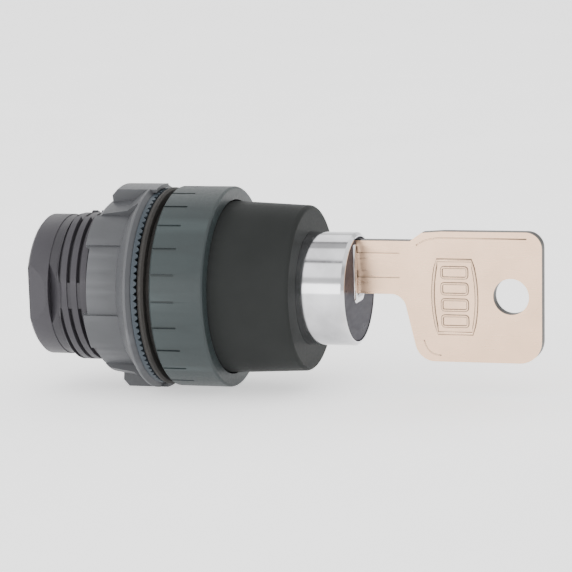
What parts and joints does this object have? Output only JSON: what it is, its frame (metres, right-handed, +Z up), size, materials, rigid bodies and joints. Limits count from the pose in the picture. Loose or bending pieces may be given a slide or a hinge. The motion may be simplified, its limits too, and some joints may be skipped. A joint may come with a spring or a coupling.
{
  "type": "selector key switch head",
  "caption": "Panel-mounted selector switch head: key lock in a black barrel with a grooved grey bezel, rubber gasket, threaded body, toothed clamp ring and lugged fixing nut.",
  "frame": {"origin": "on the lock's axis, at the plane of the panel's front face, where the gasket sits", "axes": "+X out of the panel along the lock's axis towards the key, +Z up, with the key standing in the XZ plane"},
  "size_m": [0.074, 0.0296, 0.0296],
  "materials": {
    "body_plastic": "satin moulded grey",
    "gasket_rubber": "matt black-brown",
    "bezel_plastic": "satin moulded blue-grey",
    "housing_plastic": "satin black",
    "bright_steel": "bright",
    "lock_chrome": "polished",
    "inner_plastic": "natural white moulded",
    "key_metal": "nickel silver, fine grain",
    "pusher_plastic": "moulded blue",
    "ring_plastic": "satin moulded blue-grey",
    "nut_plastic": "satin moulded grey",
    "wafer_brass": "stamped"
  },
  "bodies": {
    "head": {"threaded_body": "body_plastic", "panel_gasket": "gasket_rubber", "bezel_ring": "bezel_plastic", "housing_seal": "gasket_rubber", "lock_housing": "housing_plastic", "stop_pin": "bright_steel", "lock_sleeve": "lock_chrome", "sleeve_clip": "bright_steel", "pusher_guide": "inner_plastic", "pusher_spring_1": "bright_steel", "pusher_spring_2": "bright_steel"},
    "rotor": {"lock_plug": "lock_chrome", "plug_clip": "bright_steel", "actuating_cam": "inner_plastic", "cam_screw": "bright_steel", "wafer_1": "wafer_brass", "wafer_2": "wafer_brass", "wafer_3": "wafer_brass", "wafer_4": "wafer_brass", "wafer_5": "wafer_brass", "wafer_spring_1": "bright_steel", "wafer_spring_2": "bright_steel", "wafer_spring_3": "bright_steel", "wafer_spring_4": "bright_steel", "wafer_spring_5": "bright_steel"},
    "key": {"key": "key_metal"},
    "pusher_1": {"pusher_1": "pusher_plastic"},
    "pusher_2": {"pusher_2": "pusher_plastic"},
    "clamp_ring": {"clamp_ring": "ring_plastic"},
    "nut": {"fixing_nut": "nut_plastic"}
  },
  "joints": [
    {"name": "lock_turn", "type": "hinge", "parent": "head", "child": "rotor", "pos_m": [0, 0, 0], "axis": [-1, 0, 0], "range_deg": [0, 90]},
    {"name": "key_slide", "type": "slide", "parent": "rotor", "child": "key", "axis": [1, 0, 0], "range_m": [0, 0.024]},
    {"name": "push_1", "type": "slide", "parent": "head", "child": "pusher_1", "axis": [-1, 0, 0], "range_m": [0, 0.0026], "deforming": ["pusher_spring_1"]},
    {"name": "push_2", "type": "slide", "parent": "head", "child": "pusher_2", "axis": [-1, 0, 0], "range_m": [0, 0.0026], "deforming": ["pusher_spring_2"]},
    {"name": "ring_slide", "type": "slide", "parent": "head", "child": "clamp_ring", "axis": [-1, 0, 0], "range_m": [0, 0.006]},
    {"name": "nut_turn", "type": "hinge", "parent": "clamp_ring", "child": "nut", "pos_m": [0, 0, 0], "axis": [-1, 0, 0], "range_deg": [0, 1440]}
  ],
  "couplings": [
    {"joint": "push_1", "follows": "lock_turn", "m_per_rad": 0.0016552},
    {"joint": "push_2", "follows": "lock_turn", "m_per_rad": 0.0016552},
    {"joint": "ring_slide", "follows": "nut_turn", "m_per_rad": 0.00023873}
  ]
}
